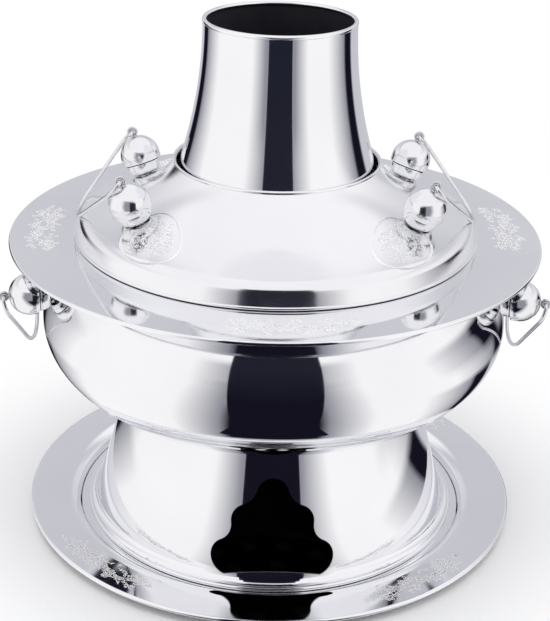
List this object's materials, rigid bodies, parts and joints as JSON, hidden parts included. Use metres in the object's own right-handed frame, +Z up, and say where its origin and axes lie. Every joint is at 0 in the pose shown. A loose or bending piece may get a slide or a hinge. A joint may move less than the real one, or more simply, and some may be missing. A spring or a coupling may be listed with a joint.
{
  "type": "chimney hot pot",
  "caption": "Round chimney hot pot: ring-shaped soup bowl with wide brim round a charcoal flue, ring lid, vented foot, ash tray, and ball knobs with swinging wire bails.",
  "frame": {"origin": "centre of the ash tray's underside, on the table", "axes": "+Z up along the chimney; the draught hole faces -Y; the handles are at +X and -X"},
  "size_m": [0.3436, 0.34, 0.333],
  "materials": {
    "sheet": "mirror polished spun sheet, fine circular lines",
    "ball": "polished ball",
    "wire": "drawn wire",
    "fastener": "plain steel",
    "grate": "dull, heat stained"
  },
  "bodies": {
    "tray": {"base_tray": "sheet"},
    "pot": {"foot": "sheet", "bowl": "sheet", "chimney": "sheet", "fire_grate": "grate", "grate_lugs": "grate", "bowl_boss_left_front": "fastener", "bowl_boss_left_back": "fastener", "bowl_boss_right_front": "fastener", "bowl_boss_right_back": "fastener", "bowl_ball_left_front": "ball", "bowl_ball_left_back": "ball", "bowl_ball_right_front": "ball", "bowl_ball_right_back": "ball", "bowl_eyebolt_left_front": "fastener", "bowl_eyebolt_left_back": "fastener", "bowl_eyebolt_right_front": "fastener", "bowl_eyebolt_right_back": "fastener"},
    "lid": {"lid": "sheet", "lid_spacer_left_front": "fastener", "lid_spacer_left_back": "fastener", "lid_spacer_right_front": "fastener", "lid_spacer_right_back": "fastener", "lid_ball_left_front": "ball", "lid_ball_left_back": "ball", "lid_ball_right_front": "ball", "lid_ball_right_back": "ball", "lid_eyebolt_left_front": "fastener", "lid_eyebolt_left_back": "fastener", "lid_eyebolt_right_front": "fastener", "lid_eyebolt_right_back": "fastener", "lid_washers": "fastener", "lid_nuts": "fastener"},
    "lid_bail_left": {"lid_bail_left": "wire"},
    "lid_bail_right": {"lid_bail_right": "wire"},
    "bowl_bail_left": {"bowl_bail_left": "wire"},
    "bowl_bail_right": {"bowl_bail_right": "wire"}
  },
  "joints": [
    {"name": "pot_lift", "type": "slide", "parent": "tray", "child": "pot", "axis": [0, 0, 1], "range_m": [0, 0.05]},
    {"name": "lid_lift", "type": "slide", "parent": "pot", "child": "lid", "axis": [0, 0, 1], "range_m": [0, 0.15]},
    {"name": "lid_bail_left_swing", "type": "hinge", "parent": "lid", "child": "lid_bail_left", "pos_m": [-0.09516, 0, 0.24352], "axis": [0, 1, 0], "range_deg": [0, 192]},
    {"name": "lid_bail_right_swing", "type": "hinge", "parent": "lid", "child": "lid_bail_right", "pos_m": [0.09516, 0, 0.24352], "axis": [0, -1, 0], "range_deg": [0, 192]},
    {"name": "bowl_bail_left_swing", "type": "hinge", "parent": "pot", "child": "bowl_bail_left", "pos_m": [-0.16845, 0, 0.16765], "axis": [0, 1, 0], "range_deg": [-9, 190]},
    {"name": "bowl_bail_right_swing", "type": "hinge", "parent": "pot", "child": "bowl_bail_right", "pos_m": [0.16845, 0, 0.16765], "axis": [0, -1, 0], "range_deg": [-9, 190]}
  ]
}
